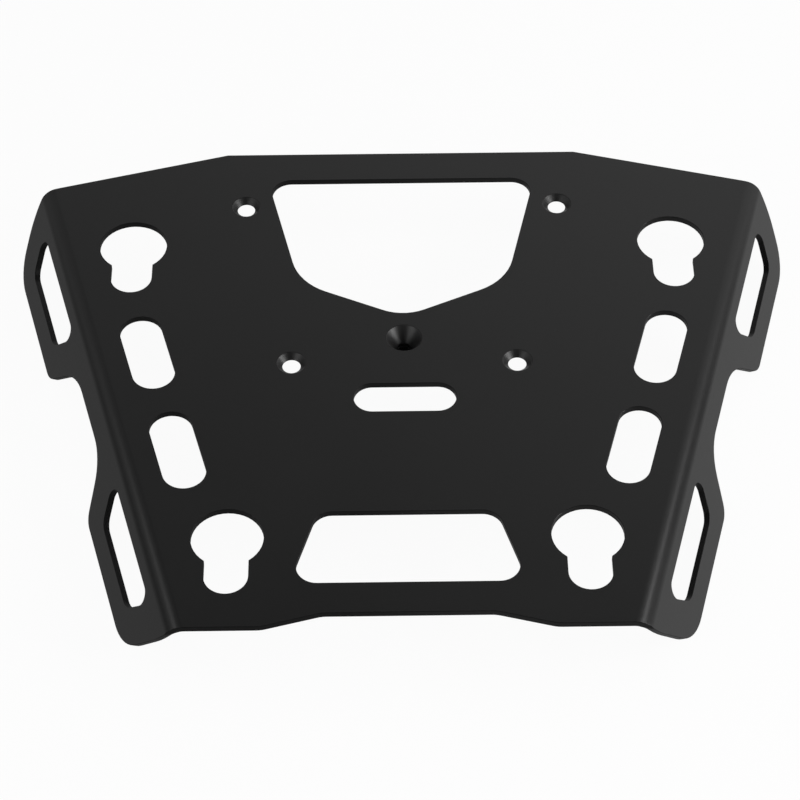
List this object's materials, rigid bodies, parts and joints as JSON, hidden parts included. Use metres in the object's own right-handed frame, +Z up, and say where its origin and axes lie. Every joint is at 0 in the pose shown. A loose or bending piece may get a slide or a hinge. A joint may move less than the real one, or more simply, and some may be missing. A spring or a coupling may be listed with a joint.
{
  "type": "motorcycle luggage rack",
  "caption": "Flat luggage rack of folded black sheet steel with slotted down-turned sides, keyholes, strap slots and two large windows.",
  "frame": {"origin": "on the level of the folded sides' lower edges, in the middle of the rack's outline seen from above", "axes": "+X to the right seen from behind the front edge, +Y to the wide back edge, +Z up out of the flat top"},
  "size_m": [0.3698, 0.292, 0.0352],
  "materials": {
    "black_powder_coat": "satin black powder coat on steel"
  },
  "bodies": {
    "root": {"rack_plate": "black_powder_coat", "centre_bush": "black_powder_coat"}
  },
  "joints": []
}
